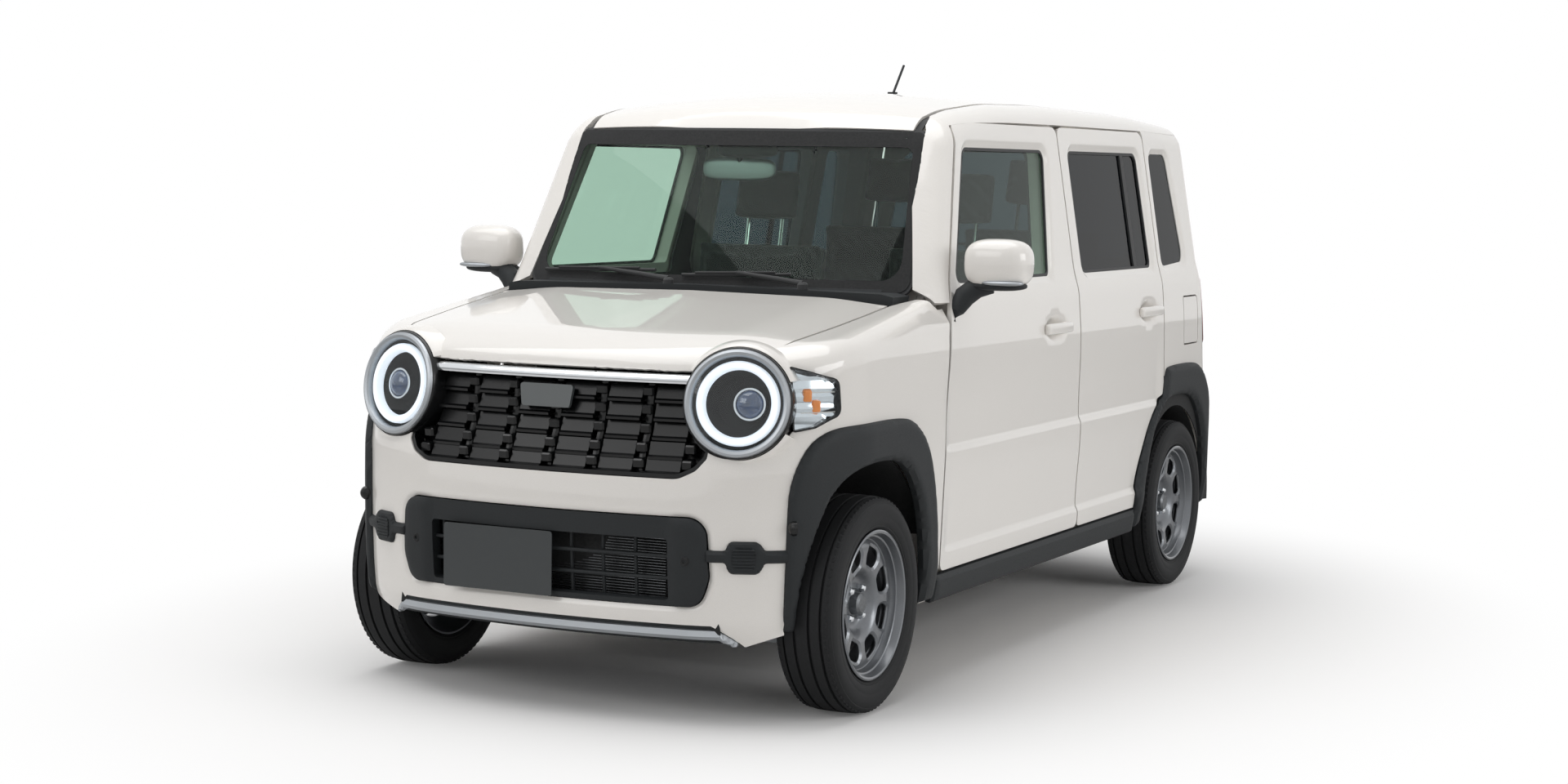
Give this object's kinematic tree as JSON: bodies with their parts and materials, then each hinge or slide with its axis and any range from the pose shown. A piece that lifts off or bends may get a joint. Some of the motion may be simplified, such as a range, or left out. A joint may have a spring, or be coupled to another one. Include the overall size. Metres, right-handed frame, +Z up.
{
  "type": "kei car",
  "caption": "Small boxy crossover car with hinged side doors, tailgate, bonnet and fuel lid, steered front wheels on knuckles, hollow cabin with seats, and black arch trim.",
  "frame": {"origin": "ground point under the middle of the car", "axes": "+Z up, the front faces -Y, the car's left side is +X"},
  "size_m": [1.8406, 3.3948, 1.7407],
  "materials": {
    "paint": "gloss pearl",
    "primer": "matt",
    "tyre": "matt",
    "wheel": "satin",
    "glass": "clear",
    "red_lens": "clear",
    "seat_cloth": "woven",
    "alloy": "cast",
    "steel": "satin",
    "soft_plastic": "grained",
    "trim_plastic": "grained"
  },
  "bodies": {
    "body": {"floor": "primer", "body_side_left": "paint", "body_side_right": "paint", "roof": "paint", "scuttle": "trim_plastic", "wipers": "trim_plastic", "wings": "paint", "front_bumper": "paint", "grille": "trim_plastic", "lower_grille": "trim_plastic", "headlamps": "trim_plastic", "headlamp_lenses": "glass", "arch_trim": "trim_plastic", "sill_trim": "trim_plastic", "windscreen": "glass", "quarter_glass": "glass", "rear_bumper": "paint", "tail_lamps": "red_lens", "dashboard": "soft_plastic", "steering_column": "soft_plastic", "front_seats": "seat_cloth", "rear_seat": "seat_cloth", "engine": "alloy", "radiator": "alloy", "chassis_rails": "primer", "front_suspension": "steel", "rear_axle": "steel", "exhaust": "steel", "antenna": "trim_plastic"},
    "door_front_left": {"door_front_left": "paint", "glass_front_left": "glass", "mirror_left": "paint"},
    "door_front_right": {"door_front_right": "paint", "glass_front_right": "glass", "mirror_right": "paint"},
    "door_rear_left": {"door_rear_left": "paint", "glass_rear_left": "glass"},
    "door_rear_right": {"door_rear_right": "paint", "glass_rear_right": "glass"},
    "tailgate": {"tailgate": "paint", "tailgate_glass": "glass"},
    "hood": {"hood": "paint"},
    "fuel_lid": {"fuel_lid": "paint"},
    "knuckle_left": {"knuckle_left": "steel"},
    "knuckle_right": {"knuckle_right": "steel"},
    "wheel_front_left": {"wheel_front_left": "wheel", "tyre_front_left": "tyre"},
    "wheel_front_right": {"wheel_front_right": "wheel", "tyre_front_right": "tyre"},
    "wheel_rear_left": {"wheel_rear_left": "wheel", "tyre_rear_left": "tyre"},
    "wheel_rear_right": {"wheel_rear_right": "wheel", "tyre_rear_right": "tyre"},
    "steering_wheel": {"steering_wheel": "soft_plastic"}
  },
  "joints": [
    {"name": "door_front_left_swing", "type": "hinge", "parent": "body", "child": "door_front_left", "pos_m": [0.7055, -0.747, 0.66], "axis": [0, 0, -1], "range_deg": [0, 68]},
    {"name": "door_front_right_swing", "type": "hinge", "parent": "body", "child": "door_front_right", "pos_m": [-0.7055, -0.747, 0.66], "axis": [0, 0, 1], "range_deg": [0, 68]},
    {"name": "door_rear_left_swing", "type": "hinge", "parent": "body", "child": "door_rear_left", "pos_m": [0.7055, 0.334, 0.66], "axis": [0, 0, -1], "range_deg": [0, 80]},
    {"name": "door_rear_right_swing", "type": "hinge", "parent": "body", "child": "door_rear_right", "pos_m": [-0.7055, 0.334, 0.66], "axis": [0, 0, 1], "range_deg": [0, 80]},
    {"name": "tailgate_lift", "type": "hinge", "parent": "body", "child": "tailgate", "pos_m": [0, 1.545, 1.579], "axis": [1, 0, 0], "range_deg": [0, 85]},
    {"name": "hood_lift", "type": "hinge", "parent": "body", "child": "hood", "pos_m": [0, -0.973, 1.03025], "axis": [-1, 0, 0], "range_deg": [0, 55]},
    {"name": "fuel_lid_swing", "type": "hinge", "parent": "body", "child": "fuel_lid", "pos_m": [0.711, 1.3025, 0.903], "axis": [0, 0, -1], "range_deg": [0, 85]},
    {"name": "knuckle_left_steer", "type": "hinge", "parent": "body", "child": "knuckle_left", "pos_m": [0.528, -1.23, 0.282], "axis": [0, 0, 1], "range_deg": [-34, 34]},
    {"name": "knuckle_right_steer", "type": "hinge", "parent": "body", "child": "knuckle_right", "pos_m": [-0.528, -1.23, 0.282], "axis": [0, 0, 1], "range_deg": [-34, 34]},
    {"name": "steering_wheel_turn", "type": "hinge", "parent": "body", "child": "steering_wheel", "pos_m": [-0.335, -0.428, 0.916], "axis": [0, 0.9135, 0.4067], "range_deg": [-540, 540]},
    {"name": "wheel_front_left_spin", "type": "hinge", "parent": "knuckle_left", "child": "wheel_front_left", "pos_m": [0.6475, -1.23, 0.282], "axis": [1, 0, 0], "continuous": true},
    {"name": "wheel_front_right_spin", "type": "hinge", "parent": "knuckle_right", "child": "wheel_front_right", "pos_m": [-0.6475, -1.23, 0.282], "axis": [1, 0, 0], "continuous": true},
    {"name": "wheel_rear_left_spin", "type": "hinge", "parent": "body", "child": "wheel_rear_left", "pos_m": [0.6475, 1.23, 0.282], "axis": [1, 0, 0], "continuous": true},
    {"name": "wheel_rear_right_spin", "type": "hinge", "parent": "body", "child": "wheel_rear_right", "pos_m": [-0.6475, 1.23, 0.282], "axis": [1, 0, 0], "continuous": true}
  ],
  "couplings": [
    {"joint": "knuckle_right_steer", "follows": "knuckle_left_steer", "ratio": 1},
    {"joint": "steering_wheel_turn", "follows": "knuckle_left_steer", "ratio": 15.8}
  ]
}
